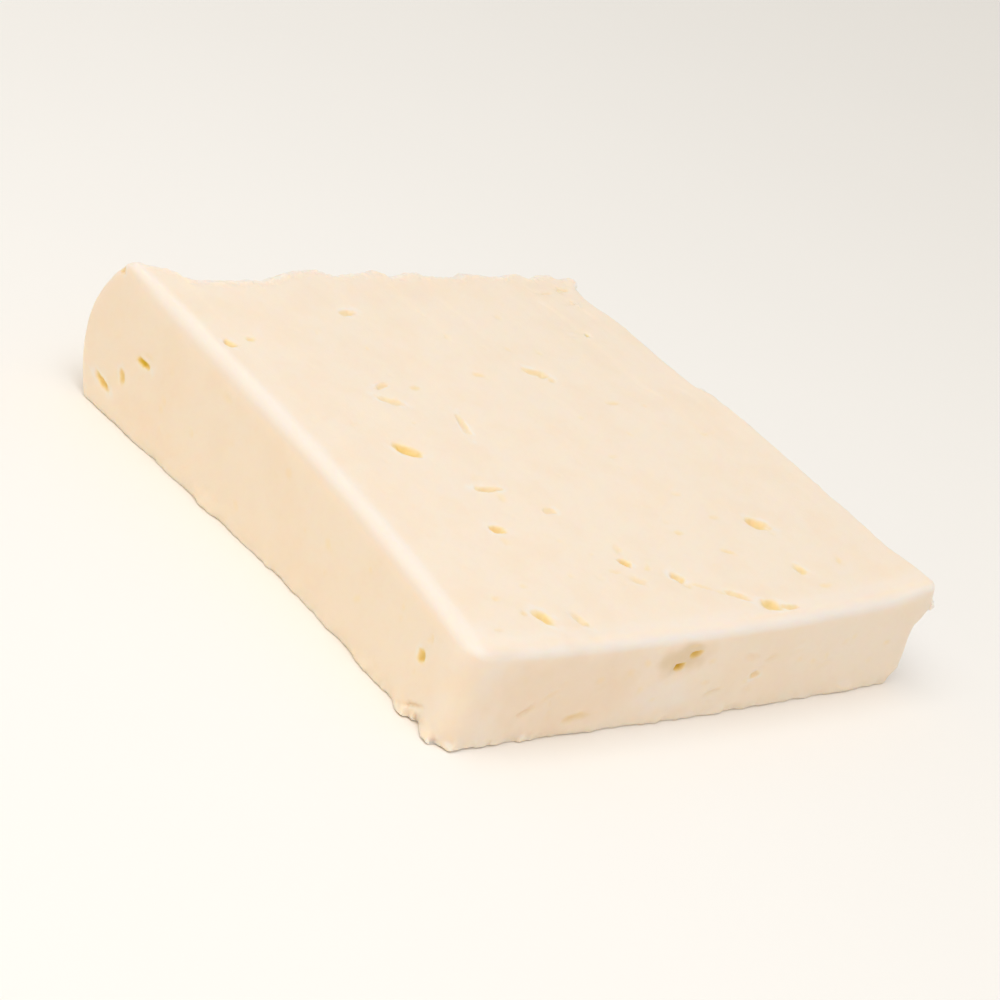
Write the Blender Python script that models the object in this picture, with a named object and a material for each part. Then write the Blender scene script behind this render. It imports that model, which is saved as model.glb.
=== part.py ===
"""One slab of white brined cheese, cut from a pressed block and lying on its flat underside.

The slab is a wedge: thin at the front, thicker at the back, where it keeps the block's bulging outer side.
Lengths are metres, X runs along the front, Y to the back and Z up, with the origin under the middle.
"""

import math
import random

import bmesh
import bpy
from mathutils import Matrix, Vector, noise
from mathutils.bvhtree import BVHTree

MM = 0.001

# Plan of the slab, measured at the four corners of its rim, before it is centred on the origin
LEFT_AT_BACK = -46.6 * MM
LEFT_FLARE = 4.8 * MM
RIGHT_AT_FRONT = 50.8 * MM
RIGHT_TAPER = 6.4 * MM
RIGHT_PINCH = 1.7 * MM
FRONT_AT_LEFT = -50.0 * MM
FRONT_AT_RIGHT = -44.2 * MM
FRONT_BOW_UNDER = 0.7 * MM
FRONT_BOW_ABOVE = 1.9 * MM
BACK_AT_RIGHT = 45.9 * MM
BACK_CORNER_REACH = 4.2 * MM
BACK_BULGE_LEFT = 5.2 * MM
BACK_BULGE_RIGHT = 3.2 * MM

# Where the sides change, as shares of the way to the back, across or up, given as the start and end of a ramp
LEFT_FLARE_END = 0.5
LEFT_FLARE_POWER = 1.5
RIGHT_TAPER_START = 0.25
RIGHT_PINCH_START = (0.60, 0.64)
RIGHT_PINCH_END = (0.99, 0.88)
BACK_REACH_UNDER = (0.55, 0.0)
BACK_REACH_RIM = (0.10, 0.04)
BACK_RIM_BAND = (0.55, 0.95)

# Thickness at the corners, and how far the front of the top sinks between them
THICK_FRONT_LEFT = 16.8 * MM
THICK_FRONT_RIGHT = 17.7 * MM
THICK_BACK_RIGHT = 24.0 * MM
THICK_BACK_LEFT = 24.2 * MM
TOP_SAG = 0.7 * MM

# Rounding of the rims
RIM_RADIUS = 2.3 * MM
BACK_RIM_RADIUS = 1.3 * MM
FOOT_RADIUS = 0.8 * MM
SOFT_CORNER_RADIUS = 4.6 * MM
SOFT_CORNER_SPREAD = (14 * MM, 2 * MM)
SOFT_FOOT_SHARE = 0.6
BACK_ZONE = (0.80, 0.97)
FOOT_TO_RIM = (-0.9, 0.4)

# The nominal block that is sliced into a lattice and then shaped
BLOCK_WIDTH = 96 * MM
BLOCK_DEPTH = 95 * MM
BLOCK_HEIGHT = 20 * MM
CELLS_ACROSS = 30
CELLS_UP = 5
RIM_STEPS = 2

# Unevenness of the cut faces and of the broken back rim
FACE_WAVE = 0.35 * MM
FACE_WAVE_LENGTH = 26 * MM
FACE_RIPPLE = 0.10 * MM
FACE_RIPPLE_LENGTH = 7 * MM
BACK_RIM_CHIP = 1.8 * MM
BACK_RIM_CHIP_LENGTH = 8 * MM
FOOT_RAG = 0.7 * MM
FOOT_RAG_LENGTH = 5 * MM
FOOT_RAG_BAND = (3.0 * MM, 0.3 * MM)
SIDE_BAND = (0.44, 0.49)
FLAT_UNDERSIDE_BAND = (0.2 * MM, 3 * MM)

# Places in the noise pattern that each kind of unevenness is read from
WAVE_PATCH = Vector((9.1, 0.4, 2.2))
CHIP_PATCH = (3.1, 7.7)
RAG_PATCH = Vector((5.2, 1.3, 0))

# Holes that show: place across, place along or up the face, length, width, turn in degrees, all in mm
TOP_HOLES = (
    (-28.0, -1.8, 5.4, 3.4, -31),
    (-19.8, -12.2, 5.2, 1.4, -3),
    (-33.1, -43.0, 5.4, 2.6, -78),
    (-26.5, -43.4, 3.6, 1.5, -92),
    (-12.1, 4.1, 5.8, 1.4, -107),
    (-22.2, 10.9, 4.4, 2.0, -26),
    (-20.9, 14.8, 3.8, 1.3, 22),
    (-25.5, -22.1, 2.9, 1.8, -4),
    (13.6, 17.5, 4.6, 1.7, -20),
    (27.9, -24.5, 4.4, 2.8, -26),
    (8.5, -41.4, 4.6, 1.6, -33),
    (13.4, -44.2, 4.8, 2.2, -25),
    (0.4, -36.0, 2.6, 2.2, -50),
    (-7.1, -31.8, 2.2, 1.7, -58),
    (-12.2, -18.4, 2.7, 1.5, 2),
    (-42.3, 27.1, 2.2, 1.8, -54),
    (-13.2, 34.9, 3.2, 1.4, 9),
    (26.9, -36.4, 2.4, 2.0, -73),
)
LEFT_HOLES = (
    (39.4, 11.7, 4.4, 1.6, -176),
    (46.0, 5.2, 2.8, 1.6, 17),
    (42.6, 6.9, 2.5, 1.5, 48),
    (-38.6, 9.5, 3.2, 2.0, -93),
)
FRONT_HOLES = (
    (-6.2, 10.0, 3.0, 2.2, 19),
    (-3.0, 11.7, 3.1, 1.7, 6),
)
HOLE_DEPTH_SHARE = 0.62
HOLE_LUMP = 0.16
HOLE_LUMP_SCALE = 1.3

# Crumbs that cling to the rims, and the bite out of the foot between two of them: place and half sizes, in mm
CRUMBS = (
    (-49.3, -37.6, 1.1, 1.6, 2.4, 1.1),
    (-50.2, -45.9, 1.5, 2.1, 2.3, 1.5),
    (-48.6, -48.6, 1.3, 2.2, 2.2, 1.3),
    (-42.4, -49.2, 0.9, 1.8, 1.3, 0.9),
    (-36.8, -49.1, 0.8, 1.5, 1.1, 0.8),
    (46.9, 12.0, 20.6, 1.3, 1.5, 0.8),
)
FOOT_BITE = (-50.9, -41.8, 1.0, 1.7, 1.6, 1.8)
CRUMB_LUMP = 0.45
CRUMB_LUMP_SCALE = 1.4

# Holes of the faces that don't show, drawn at random within a margin of each face's rims
HIDDEN_HOLES_PER_FACE = 7
HIDDEN_HOLE_LENGTH = (1.8 * MM, 4.6 * MM)
HIDDEN_HOLE_MARGIN = 6 * MM
HIDDEN_HOLE_SPACING = 8 * MM
HIDDEN_HOLE_HEIGHT = (0.30 * THICK_FRONT_RIGHT, 0.75 * THICK_FRONT_RIGHT)
HIDDEN_HOLE_SLIMNESS = (0.40, 0.75)
SEED = 11

# A distance well outside the slab, from which holes are aimed at its faces
OUTSIDE = 200 * MM

CHEESE_COLOUR = (0.94, 0.82, 0.65, 1.0)
CHEESE_ROUGHNESS = 0.48


def clear_scene():
    for obj in list(bpy.data.objects):
        bpy.data.objects.remove(obj, do_unlink=True)


def cheese_material():
    material = bpy.data.materials.new("white_cheese")
    material.use_nodes = True
    shader = material.node_tree.nodes["Principled BSDF"]
    shader.inputs["Base Color"].default_value = CHEESE_COLOUR
    shader.inputs["Roughness"].default_value = CHEESE_ROUGHNESS
    shader.inputs["Metallic"].default_value = 0.0
    return material


def mix(a, b, share):
    return a + (b - a) * share


def ease(low, high, value):
    """0 below low, 1 above high and a smooth ramp between, for either order of low and high."""
    share = min(1.0, max(0.0, (value - low) / (high - low)))
    return share * share * (3 - 2 * share)


def arch(share):
    """0 at both ends of 0 to 1 and 1 at the middle."""
    return 4 * share * (1 - share)


def left_side(back):
    """X of the left side, at a share of the way to the back: it flares towards the front corner."""
    return LEFT_AT_BACK - LEFT_FLARE * max(0.0, 1 - back / LEFT_FLARE_END) ** LEFT_FLARE_POWER


def right_side(back):
    """X of the right side: it tapers to the back and is pinched in short of the back corner."""
    taper = RIGHT_TAPER * max(0.0, (back - RIGHT_TAPER_START) / (1 - RIGHT_TAPER_START))
    pinch = RIGHT_PINCH * ease(*RIGHT_PINCH_START, back) * ease(*RIGHT_PINCH_END, back)
    return RIGHT_AT_FRONT - taper - pinch


def front_side(across, up):
    bow = mix(FRONT_BOW_UNDER, FRONT_BOW_ABOVE, up) * arch(across)
    return mix(FRONT_AT_LEFT, FRONT_AT_RIGHT, across) - bow


def back_side(across, up):
    """Y of the back: its side bulges like the block's outside, and its rim is whole only at the left."""
    rim = ease(*BACK_RIM_BAND, up)
    reach = BACK_CORNER_REACH * mix(ease(*BACK_REACH_UNDER, across), ease(*BACK_REACH_RIM, across), rim)
    bulge = mix(BACK_BULGE_LEFT, BACK_BULGE_RIGHT, across) * arch(up)
    chip = noise.noise(Vector((across * BLOCK_WIDTH / BACK_RIM_CHIP_LENGTH, *CHIP_PATCH)))
    return BACK_AT_RIGHT + reach + bulge + BACK_RIM_CHIP * rim * chip


def thickness(across, back):
    front = mix(THICK_FRONT_LEFT, THICK_FRONT_RIGHT, across) - TOP_SAG * arch(across)
    rear = mix(THICK_BACK_LEFT, THICK_BACK_RIGHT, across)
    return mix(front, rear, back)


def rounded(point):
    """Moves a point of the nominal block's surface onto its rounded rims and corners."""
    half = Vector((BLOCK_WIDTH / 2, BLOCK_DEPTH / 2, BLOCK_HEIGHT / 2))
    centred = Vector((point.x, point.y, point.z - half.z))
    near_soft_corner = ease(*SOFT_CORNER_SPREAD, (centred.xy + half.xy).length)
    near_back = ease(*BACK_ZONE, centred.y / half.y)
    rim = mix(mix(RIM_RADIUS, BACK_RIM_RADIUS, near_back), SOFT_CORNER_RADIUS, near_soft_corner)
    foot = mix(FOOT_RADIUS, SOFT_CORNER_RADIUS, SOFT_FOOT_SHARE * near_soft_corner)
    flat = mix(foot, rim, ease(*FOOT_TO_RIM, centred.z / half.z))
    upright = mix(RIM_RADIUS, BACK_RIM_RADIUS, near_back) if centred.z > 0 else FOOT_RADIUS
    radii = Vector((flat, flat, upright))
    core = Vector([max(r - h, min(h - r, c)) for c, h, r in zip(centred, half, radii)])
    reach = Vector([(c - k) / r for c, k, r in zip(centred, core, radii)])
    reach.normalize()
    return Vector([k + r * d for k, r, d in zip(core, radii, reach)]) + Vector((0, 0, half.z))


def foot_rag(place):
    """How far the ragged lower rim stands out, which the knife dragged into small lips."""
    return FOOT_RAG * noise.noise(place / FOOT_RAG_LENGTH + RAG_PATCH) * ease(*FOOT_RAG_BAND, place.z)


def slab_point(point):
    """The slab's surface for a point of the nominal block's surface."""
    block = rounded(point)
    across = block.x / BLOCK_WIDTH + 0.5
    back = block.y / BLOCK_DEPTH + 0.5
    up = block.z / BLOCK_HEIGHT
    x = mix(left_side(back), right_side(back), across)
    y = mix(front_side(across, up), back_side(across, up), back)
    place = Vector((x, y, up * thickness(across, back)))
    outward = Vector((block.x / BLOCK_WIDTH, block.y / BLOCK_DEPTH, 0)).normalized()
    on_side = ease(*SIDE_BAND, max(abs(block.x) / BLOCK_WIDTH, abs(block.y) / BLOCK_DEPTH))
    return place + outward * foot_rag(place) * on_side


def lattice(size, cells):
    """Slice places along one side of the nominal block: even cells, and close rows over both rims."""
    half = size / 2
    even = [mix(-half + RIM_RADIUS, half - RIM_RADIUS, i / cells) for i in range(cells + 1)]
    angles = [math.pi / 4 * step / RIM_STEPS for step in range(1, RIM_STEPS)]
    close = [half - RIM_RADIUS + RIM_RADIUS * math.tan(angle) for angle in angles]
    return sorted(even + close + [-c for c in close])


def sliced_block():
    """The nominal block as a mesh, sliced along X, Y and Z."""
    mesh = bmesh.new()
    size = Matrix.Diagonal((BLOCK_WIDTH, BLOCK_DEPTH, BLOCK_HEIGHT, 1))
    bmesh.ops.create_cube(mesh, size=1, matrix=Matrix.Translation((0, 0, BLOCK_HEIGHT / 2)) @ size)
    slices = [(Vector((1, 0, 0)), x) for x in lattice(BLOCK_WIDTH, CELLS_ACROSS)]
    slices += [(Vector((0, 1, 0)), y) for y in lattice(BLOCK_DEPTH, CELLS_ACROSS)]
    slices += [(Vector((0, 0, 1)), BLOCK_HEIGHT / 2 + z) for z in lattice(BLOCK_HEIGHT, CELLS_UP)]
    for direction, distance in slices:
        geometry = mesh.verts[:] + mesh.edges[:] + mesh.faces[:]
        place = direction * distance
        bmesh.ops.bisect_plane(mesh, geom=geometry, dist=1e-7, plane_co=place, plane_no=direction)
    return mesh


def make_uneven(mesh):
    """Low waves and ripples on every face but the flat underside."""
    mesh.normal_update()
    normals = [vert.normal.copy() for vert in mesh.verts]
    for vert, normal in zip(mesh.verts, normals):
        wave = FACE_WAVE * noise.noise(vert.co / FACE_WAVE_LENGTH + WAVE_PATCH)
        ripple = FACE_RIPPLE * noise.noise(vert.co / FACE_RIPPLE_LENGTH)
        vert.co += normal * (wave + ripple) * ease(*FLAT_UNDERSIDE_BAND, vert.co.z)


def footprint_centre(*meshes):
    xs = [vert.co.x for mesh in meshes for vert in mesh.verts]
    ys = [vert.co.y for mesh in meshes for vert in mesh.verts]
    return Vector(((min(xs) + max(xs)) / 2, (min(ys) + max(ys)) / 2, 0))


def shaped_slab():
    mesh = sliced_block()
    for vert in mesh.verts:
        vert.co = slab_point(vert.co)
    make_uneven(mesh)
    bmesh.ops.recalc_face_normals(mesh, faces=mesh.faces[:])
    return mesh


def add_hole_cutter(cutters, tree, start, towards, length, width, turn):
    """A lumpy ellipsoid centred where a ray from start meets the slab, its length turned in the face."""
    place, normal, _, _ = tree.ray_cast(start, towards)
    right = Vector((0, 0, 1)).cross(normal)
    if right.length < 0.5:
        right = Vector((1, 0, 0))
    along = (right - normal * right.dot(normal)).normalized()
    along.rotate(Matrix.Rotation(turn, 3, normal))
    aside = normal.cross(along)
    turned = Matrix((along, aside, normal)).transposed().to_4x4()
    depth = width * HOLE_DEPTH_SHARE
    size = Matrix.Diagonal((length / 2, width / 2, depth, 1))
    lumps = bmesh.ops.create_icosphere(cutters, subdivisions=2, radius=1)["verts"]
    for vert in lumps:
        vert.co *= 1 + HOLE_LUMP * noise.noise(vert.co * HOLE_LUMP_SCALE + place / MM)
    bmesh.ops.transform(cutters, verts=lumps, matrix=Matrix.Translation(place) @ turned @ size)


def shown_holes(cutters, tree):
    down, rightward, backward = Vector((0, 0, -1)), Vector((1, 0, 0)), Vector((0, 1, 0))
    aimed = [(down, Vector((x, y, 0)) * MM, *shape) for x, y, *shape in TOP_HOLES]
    aimed += [(rightward, Vector((0, y, z)) * MM, *shape) for y, z, *shape in LEFT_HOLES]
    aimed += [(backward, Vector((x, 0, z)) * MM, *shape) for x, z, *shape in FRONT_HOLES]
    for towards, target, length, width, turn in aimed:
        start = target - towards * OUTSIDE
        add_hole_cutter(cutters, tree, start, towards, length * MM, width * MM, math.radians(turn))


def hidden_holes(cutters, tree, draw):
    """Random holes of the right side and the back, spaced apart."""
    for towards in (Vector((-1, 0, 0)), Vector((0, -1, 0))):
        taken = []
        reach = BLOCK_WIDTH / 2 - HIDDEN_HOLE_MARGIN
        while len(taken) < HIDDEN_HOLES_PER_FACE:
            along = draw.uniform(-reach, reach)
            height = draw.uniform(*HIDDEN_HOLE_HEIGHT)
            if any(math.hypot(along - a, height - h) < HIDDEN_HOLE_SPACING for a, h in taken):
                continue
            taken.append((along, height))
            sideways = Vector((towards.y, towards.x, 0)) * along
            length = draw.uniform(*HIDDEN_HOLE_LENGTH)
            width = length * draw.uniform(*HIDDEN_HOLE_SLIMNESS)
            start = sideways - towards * OUTSIDE + Vector((0, 0, height))
            add_hole_cutter(cutters, tree, start, towards, length, width, draw.uniform(0, math.pi))


def add_lump(mesh, x, y, z, *half_sizes):
    """A small ball with dents, at the place and of the half sizes given."""
    place = Vector((x, y, z)) * MM
    size = Matrix.Diagonal([half * MM for half in half_sizes] + [1])
    lump = bmesh.ops.create_icosphere(mesh, subdivisions=2, radius=1)["verts"]
    for vert in lump:
        vert.co *= 1 - CRUMB_LUMP * abs(noise.noise(vert.co * CRUMB_LUMP_SCALE + place / MM))
    bmesh.ops.transform(mesh, verts=lump, matrix=Matrix.Translation(place) @ size)


def object_from(mesh, name):
    data = bpy.data.meshes.new(name)
    mesh.to_mesh(data)
    mesh.free()
    obj = bpy.data.objects.new(name, data)
    bpy.context.scene.collection.objects.link(obj)
    return obj


def add_boolean(slab, operation, mesh, name):
    helper = object_from(mesh, name)
    helper.hide_render = True
    helper.display_type = "WIRE"
    modifier = slab.modifiers.new(name, "BOOLEAN")
    modifier.operation = operation
    modifier.object = helper
    modifier.use_self = True


def cheese_slab():
    slab_mesh = shaped_slab()
    tree = BVHTree.FromBMesh(slab_mesh)
    hole_mesh = bmesh.new()
    shown_holes(hole_mesh, tree)
    hidden_holes(hole_mesh, tree, random.Random(SEED))
    add_lump(hole_mesh, *FOOT_BITE)
    crumb_mesh = bmesh.new()
    for crumb in CRUMBS:
        add_lump(crumb_mesh, *crumb)
    centre = footprint_centre(slab_mesh, crumb_mesh)
    for mesh in (slab_mesh, hole_mesh, crumb_mesh):
        bmesh.ops.translate(mesh, verts=mesh.verts[:], vec=-centre)
    slab = object_from(slab_mesh, "cheese_slab")
    slab.data.materials.append(cheese_material())
    slab.data.shade_smooth()
    add_boolean(slab, "UNION", crumb_mesh, "crumbs")
    add_boolean(slab, "DIFFERENCE", hole_mesh, "holes")


clear_scene()
cheese_slab()
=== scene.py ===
"""One slab of white brined cheese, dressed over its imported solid, and the studio it is shown in.

The slab is shaped in a design frame, with X along the front cut, Y towards the thicker back and Z up.
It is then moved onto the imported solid. Lengths are metres, and the tables are in millimetres.
"""

import math
import random
from collections import namedtuple

import bmesh
import bpy
import numpy as np
from bpy.props import FloatProperty, FloatVectorProperty, IntProperty, PointerProperty
from bpy.types import Operator, Panel, PropertyGroup
from mathutils import Matrix, Vector, noise
from mathutils.bvhtree import BVHTree


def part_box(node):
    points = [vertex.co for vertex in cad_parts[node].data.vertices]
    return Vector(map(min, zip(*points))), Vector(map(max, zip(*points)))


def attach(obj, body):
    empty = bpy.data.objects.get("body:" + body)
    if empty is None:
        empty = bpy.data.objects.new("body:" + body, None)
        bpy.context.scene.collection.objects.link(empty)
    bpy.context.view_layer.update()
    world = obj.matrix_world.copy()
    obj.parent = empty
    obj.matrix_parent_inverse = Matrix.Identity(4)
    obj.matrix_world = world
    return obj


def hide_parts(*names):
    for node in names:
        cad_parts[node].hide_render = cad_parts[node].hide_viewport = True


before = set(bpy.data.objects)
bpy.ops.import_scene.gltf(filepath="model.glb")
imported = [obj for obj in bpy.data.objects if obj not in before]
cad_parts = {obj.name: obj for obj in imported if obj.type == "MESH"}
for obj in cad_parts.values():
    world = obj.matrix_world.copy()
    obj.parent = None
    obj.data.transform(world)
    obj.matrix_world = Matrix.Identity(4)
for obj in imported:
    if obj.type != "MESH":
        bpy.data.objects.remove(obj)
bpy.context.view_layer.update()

bl_info = {
    "name": "White Cheese Slab",
    "version": (1, 0, 0),
    "blender": (4, 5, 0),
    "location": "3D View > Sidebar > Cheese",
    "description": "Builds a slab of white brined cheese with its holes, crumbs and studio",
    "category": "Add Mesh",
}

NODE = "cheese_slab"
BODY = "root"
SLAB = "white_cheese_slab"
MM = 0.001

# Place, aim and roll of the camera, in metres and degrees
CAMERA_PLACE = (-0.44475, -0.40055, 0.26905)
CAMERA_AIM = (-0.00036, -0.00067, 0.00834)
CAMERA_ROLL = 21.08

# The nominal block that the slab is shaped from
BLOCK = np.array((96.0, 95.0, 20.0)) * MM

# Its first cells, how often they are split, and how far in from its edge the underside is split too
COARSE_CELLS = (15, 15, 3)
EVEN_PASSES = 3
UNDERSIDE_MARGIN = 4 * MM

# Two finer passes: margin round the holes, margin round the dents and depth of the rims
FINE_PASSES = ((1.1 * MM, 0.3 * MM, 5.0 * MM), (0.35 * MM, -1.0 * MM, 3.6 * MM))

# Front corners in plan, in mm, the left one also at its foot
LEFT_CORNER = (-50.5, -49.5)
LEFT_FOOT = (-50.0, -48.0)
RIGHT_CORNER = (51.0, -44.0)

# Where the broken strip and the chip of the right side begin and end, as shares of the way back
PINCH = ((0.60, 0.64), (0.99, 0.88))
CHIP = ((0.84, 0.94), (0.995, 0.96))

# How near the back and the right side the rims turn sharper, as shares of half the block
RIM_TURN = (0.80, 0.97)

# Holes on each face that the tables leave bare, and the least room between two of them, in mm
HIDDEN_HOLES = 16
HOLE_ROOM = 5.5

# How far from the middle of the slab the rays start that place the holes
RAY_START = 0.2

# Bluntness of the outline of a hole, 2 for an oval, and how far out of its face a hole still reaches
BLUNTNESS = 2.6
HOLE_REACH = 3 * MM

# How much stronger ripples and curd grain are on the front
FRONT_RIPPLE = 1.7
FRONT_GRAIN = 2.8

# Where the painted highlight bands inside the left and front rims begin and end, and the chalky torn rim
# likewise
BAND = ((0.2 * MM, 2.2 * MM), (5.0 * MM, 3.0 * MM))
TORN = ((1.8 * MM, 0.4 * MM), (-5 * MM, -1 * MM))

# Colours laid over the curd in this order, each at its share of the mask of the same name
# In order: a painted highlight tint of the side rims, chalky paleness with painted highlight, painted shade,
# painted glow inside the holes and painted shade in their hearts
LAYERS = (("rim", 0.65), ("chalk_and_highlight", 1.0), ("painted_shade", 0.85), ("amber", 1.0), ("core", 1.0))

# Top of the broken back rim: distance across and back, in mm
BACK_RIM = (
    (-46.6, 49.9), (-45.0, 49.8), (-43.7, 49.2), (-42.3, 48.9), (-41.1, 48.2), (-40.0, 47.4), (-39.4, 45.6),
    (-38.5, 44.7), (-36.5, 44.3), (-31.0, 44.1), (-26.2, 44.1), (-23.7, 44.3), (-21.7, 44.9), (-19.6, 45.8),
    (-17.8, 46.6), (-14.7, 47.4), (-12.3, 47.9), (-10.8, 47.6), (-10.1, 46.9), (-8.3, 46.1), (-7.0, 45.9),
    (-3.8, 46.6), (-2.0, 47.1), (1.0, 47.8), (2.5, 47.6), (2.9, 45.8), (4.9, 45.7), (6.8, 46.7),
    (10.4, 47.0), (10.9, 45.9), (13.3, 45.5), (17.0, 45.2), (18.6, 45.7), (20.0, 46.6), (21.6, 46.4),
    (25.1, 45.8), (28.6, 45.7), (29.6, 46.4), (31.6, 46.7), (32.6, 46.3), (32.8, 45.1), (34.0, 44.9),
    (35.7, 45.8), (37.2, 46.3), (39.4, 46.2), (39.8, 45.1), (41.8, 45.2), (43.6, 45.0), (44.5, 44.4),
)

# Holes: place in the face, length, width, turn in degrees, depth and strength of the amber, a painted glow of
# warm light scattered inside the hole. The place is across and back on the top, back and up on the left, and
# across and up on the front.
TOP_HOLES = (
    (-28.2, -1.9, 5.0, 2.9, -31, 0.88, 0.76),
    (-19.8, -12.2, 5.4, 1.5, -3, 0.62, 0.40),
    (-32.8, -43.1, 4.2, 2.9, -74, 0.81, 0.67),
    (-26.3, -44.2, 3.6, 1.9, -88, 0.50, 0.33),
    (-12.1, 4.1, 6.0, 1.5, -107, 0.44, 0.29),
    (-22.3, 10.8, 4.6, 1.9, -28, 0.44, 0.37),
    (-20.9, 14.8, 3.8, 1.2, 22, 0.44, 0.38),
    (-25.5, -22.1, 3.0, 2.1, -4, 0.88, 0.66),
    (13.6, 17.5, 5.0, 2.0, -20, 0.50, 0.45),
    (27.9, -24.5, 4.6, 2.8, -26, 0.88, 0.62),
    (9.0, -41.3, 4.8, 1.7, -33, 0.50, 0.36),
    (13.7, -44.2, 4.4, 2.8, -16, 0.75, 0.67),
    (16.9, -44.8, 4.2, 1.1, -10, 0.38, 0.50),
    (0.4, -36.0, 2.8, 2.2, -50, 0.75, 0.50),
    (-7.1, -31.8, 2.3, 1.9, -58, 0.95, 0.70),
    (-12.2, -18.4, 2.8, 1.6, 2, 0.38, 0.32),
    (-42.3, 27.1, 2.4, 2.0, -54, 0.62, 0.59),
    (-13.2, 34.9, 3.4, 1.6, 9, 0.44, 0.46),
    (26.9, -36.4, 2.6, 2.2, -73, 0.50, 0.51),
    (33.3, 27.5, 0.8, 0.7, 0, 0.75, 0.84),
)
LEFT_HOLES = (
    (39.5, 11.8, 3.9, 1.2, 2, 0.50, 1.00),
    (47.3, 4.2, 4.6, 1.3, -14, 0.40, 0.78),
    (43.4, 7.3, 2.6, 1.5, -60, 0.40, 0.66),
    (-39.2, 9.3, 2.4, 1.9, -80, 0.55, 0.80),
    (50.9, 22.0, 1.8, 1.3, 20, 0.40, 0.60),
)
FRONT_HOLES = (
    (-6.4, 10.0, 2.5, 1.4, 8, 1.20, 1.00),
    (-3.7, 12.0, 2.9, 1.4, 4, 0.70, 0.80),
    (12.2, 6.7, 2.6, 1.4, 10, 0.36, 0.42),
)

# Shallow dents and folds, in the same columns
TOP_DENTS = (
    (-37.9, 27.7, 2.2, 1.3, 0, 0.25, 0.60),
    (-14.4, 14.2, 2.6, 1.2, 5, 0.19, 0.55),
    (1.1, 17.2, 2.8, 1.5, -10, 0.17, 0.48),
    (23.6, 8.6, 3.6, 1.2, -2, 0.14, 0.38),
    (11.8, -5.7, 2.4, 1.2, 8, 0.14, 0.26),
    (17.1, -16.1, 2.4, 1.4, -8, 0.14, 0.22),
    (19.9, -22.4, 3.0, 1.3, 0, 0.14, 0.26),
    (9.5, -25.5, 2.4, 1.3, 4, 0.14, 0.54),
    (15.7, -30.8, 3.0, 1.3, -25, 0.17, 0.48),
    (-8.1, -36.3, 3.2, 2.0, -30, 0.26, 0.40),
    (-6.0, -28.6, 3.0, 1.8, 60, 0.22, 0.26),
    (0.8, -38.1, 2.4, 1.4, -30, 0.22, 0.32),
    (17.0, -45.2, 2.7, 1.0, 0, 0.24, 0.55),
    (36.7, -35.1, 2.2, 1.2, 50, 0.14, 0.38),
    (28.5, -40.9, 3.2, 1.2, 0, 0.14, 0.32),
    (-43.6, -45.3, 1.8, 1.2, 0, 0.14, 0.26),
    (-38.5, -38.3, 2.0, 1.5, 0, 0.17, 0.32),
    (-36.0, -42.0, 1.8, 1.4, 30, 0.19, 0.55),
    (-31.3, -35.9, 2.0, 1.4, 0, 0.14, 0.26),
    (14.6, 16.4, 3.0, 1.4, 15, 0.19, 0.55),
    (-18.8, -14.6, 3.4, 2.2, 70, 0.19, 0.26),
    (-20.4, -9.6, 3.4, 1.8, 10, 0.17, 0.11),
    (30.6, 28.8, 5.0, 0.6, -20, 0.10, 0.05),
    (30.0, 27.4, 5.0, 0.6, -20, 0.10, 0.05),
    (38.2, 40.8, 3.4, 1.2, 5, 0.42, 0.55),
    (33.6, 39.8, 3.4, 0.9, 8, 0.24, 0.26),
    (37.4, 36.6, 5.2, 0.8, 4, 0.19, 0.06),
    (3.4, -38.6, 4.6, 0.9, -30, 0.12, 0.42),
    (6.2, -40.4, 3.0, 0.9, -35, 0.10, 0.32),
    (15.4, 15.4, 2.6, 1.4, 60, 0.20, 0.45),
    (-4.0, -33.6, 2.4, 1.2, 30, 0.16, 0.40),
    (-10.8, -33.9, 2.6, 1.2, -20, 0.14, 0.32),
)
LEFT_DENTS = (
    (-41.2, 2.4, 6.0, 1.0, 26, 0.55, 0.18),
    (-40.2, 12.8, 1.7, 1.0, -60, 0.14, 0.30),
    (38.6, 13.6, 2.8, 1.0, 0, 0.14, 0.18),
    (19.0, 17.4, 3.0, 1.8, 0, 0.10, 0.15),
    (44.3, 6.2, 6.5, 4.6, 20, 0.16, 0.06),
    (38.6, 9.6, 2.4, 1.6, 60, 0.12, 0.04),
)
FRONT_DENTS = (
    (-5.0, 11.2, 11.0, 6.0, 8, 0.40, 0.0),
    (-5.4, 13.9, 3.2, 1.0, 2, 0.12, 0.30),
    (-36.9, 5.7, 4.0, 1.2, 32, 0.40, 0.16),
    (-25.2, 3.4, 6.0, 1.7, 6, 0.40, 0.45),
    (-33.0, 8.2, 5.0, 1.2, 30, 0.20, 0.12),
    (3.4, 4.4, 4.6, 1.0, 20, 0.28, 0.14),
    (20.5, 10.4, 4.0, 1.0, 10, 0.12, 0.05),
    (9.4, 10.4, 4.4, 1.6, -10, 0.26, 0.14),
    (14.6, 9.4, 3.4, 1.4, 18, 0.24, 0.12),
    (0.3, 10.6, 2.2, 1.3, 10, 0.18, 0.22),
    (0.8, 6.6, 2.4, 1.2, 0, 0.14, 0.16),
    (-12.0, 13.4, 5.0, 1.4, 6, 0.12, 0.04),
    (-22.0, 9.0, 6.0, 1.2, 20, 0.12, 0.03),
    (29.0, 6.4, 4.2, 1.2, 12, 0.18, 0.08),
    (43.2, 8.6, 1.9, 1.2, 0, 0.16, 0.30),
    (11.6, 4.2, 3.0, 1.2, -6, 0.20, 0.05),
)

# How the foot of the front corners reaches out or in: place across and back, reach and radius, in mm
FOOT_LOBES = (
    (-50.4, -38.6, 1.1, 2.8),
    (-50.6, -43.2, -1.1, 1.3),
    (-51.2, -46.0, 1.3, 2.2),
    (-51.0, -49.6, -0.8, 2.4),
    (-47.0, -50.2, -0.2, 2.4),
    (-41.0, -49.6, -0.4, 1.2),
    (50.6, -44.4, -1.3, 2.6),
)
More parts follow.
